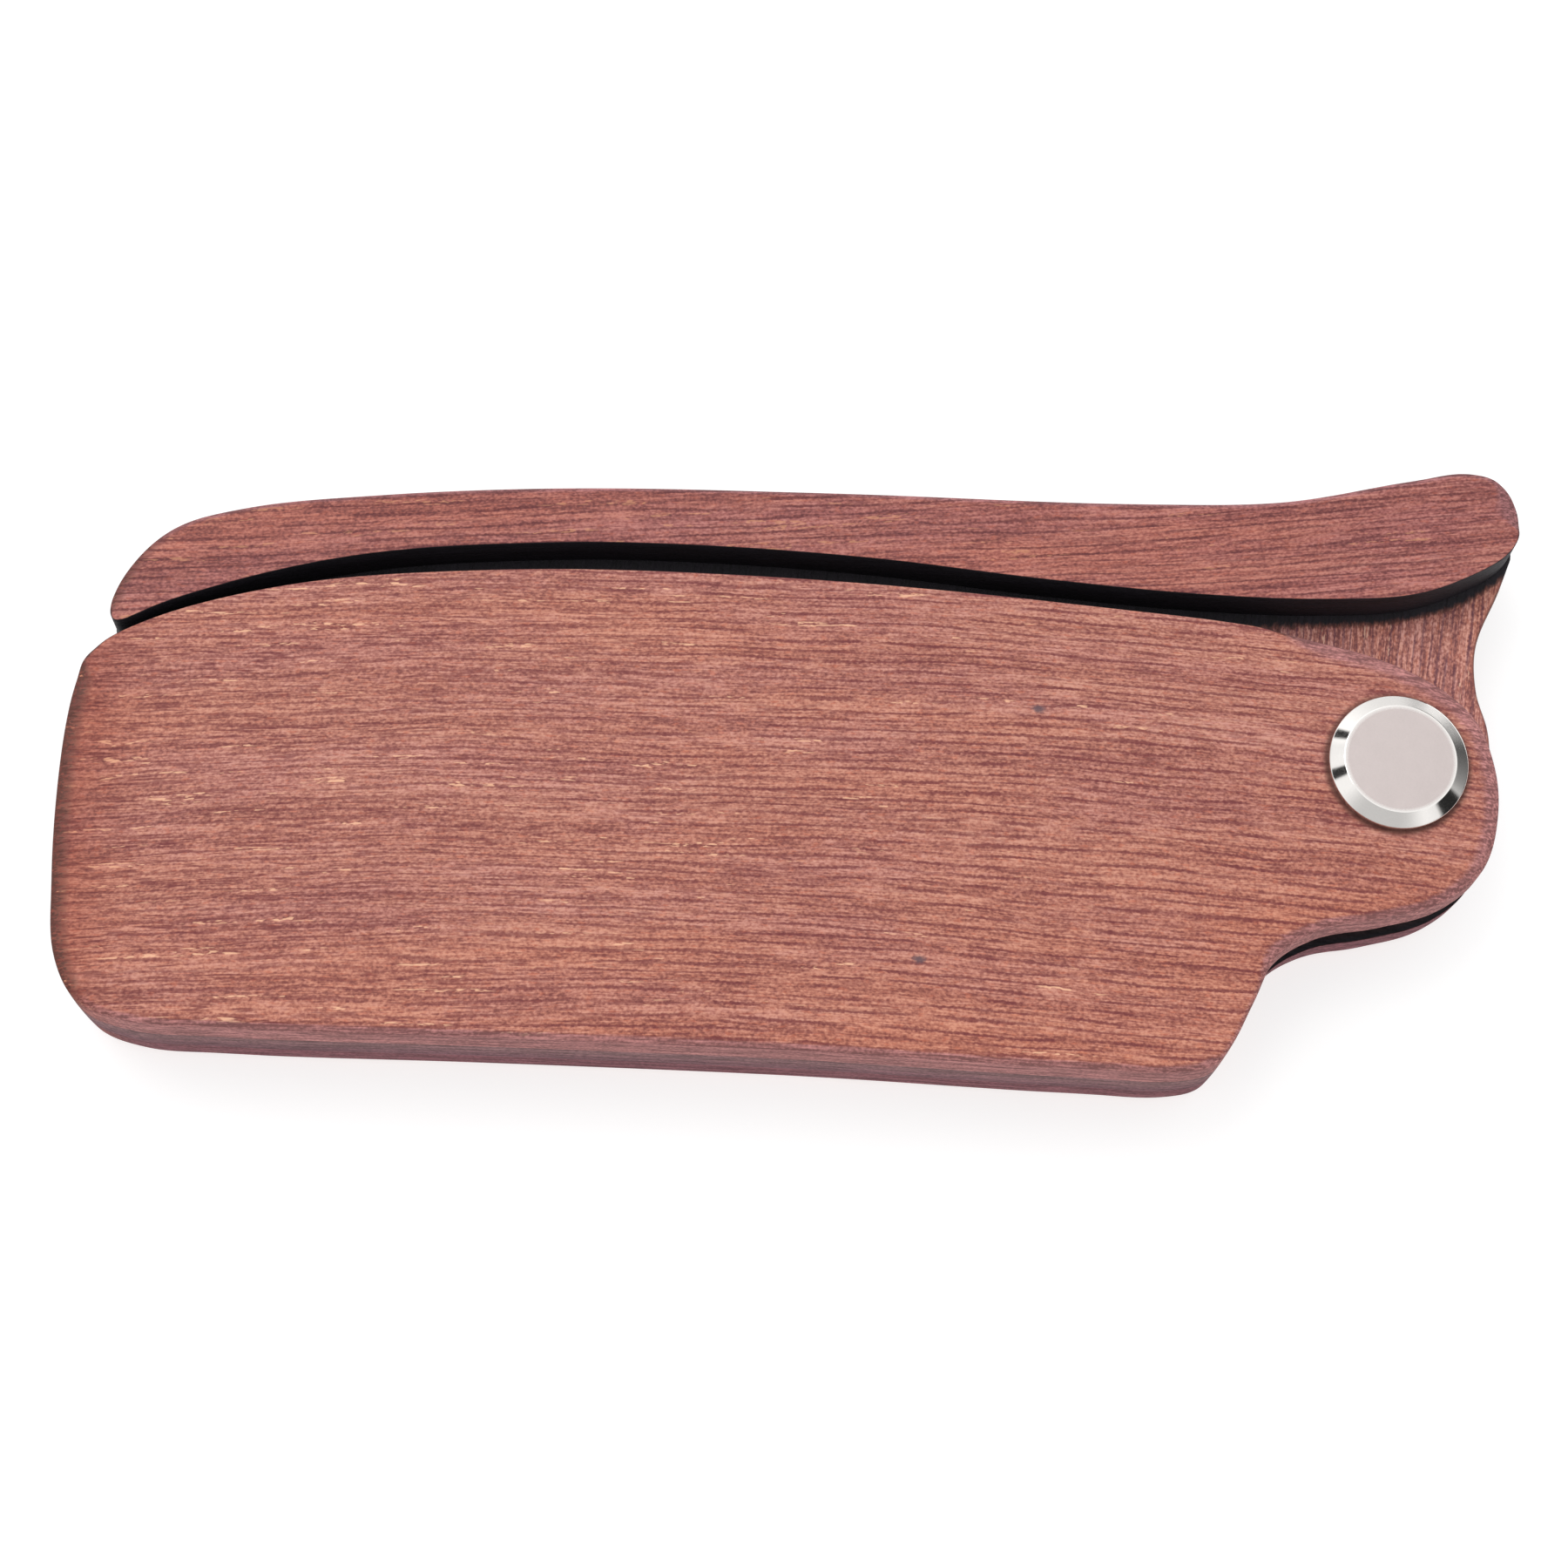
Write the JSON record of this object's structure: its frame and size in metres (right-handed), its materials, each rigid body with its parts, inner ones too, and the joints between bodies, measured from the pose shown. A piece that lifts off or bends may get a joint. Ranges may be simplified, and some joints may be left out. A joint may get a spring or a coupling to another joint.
{
  "type": "folding pocket comb",
  "caption": "Wooden pocket comb whose toothed blade swings out of a flat two-plate handle on a round metal rivet.",
  "frame": {"origin": "under the middle of the folded comb's box, at the level of the back cap's flat end", "axes": "+X along the handle to the rivet's end, +Y across it to the comb's spine, +Z out of the front face"},
  "size_m": [0.105, 0.0468, 0.0114],
  "materials": {
    "plate_wood": "satin red-brown wood, grain along the handle, sanded rims",
    "strip_wood": "satin red-brown wood, grain along the spine, lower side burnt black",
    "blade_wood": "matte red-brown wood, grain along the teeth",
    "spacer_wood": "matte dark red-brown wood",
    "rivet_metal": "satin cap with a polished chamfer"
  },
  "bodies": {
    "handle": {"front_plate": "plate_wood", "back_plate": "plate_wood", "spacer": "spacer_wood", "rivet": "rivet_metal"},
    "comb": {"comb_blade": "blade_wood", "front_strip": "strip_wood", "back_strip": "strip_wood"}
  },
  "joints": [
    {"name": "comb_pivot", "type": "hinge", "parent": "handle", "child": "comb", "pos_m": [0.04288, 0.00022, 0.0057], "axis": [0, 0, -1], "range_deg": [0, 180]}
  ]
}
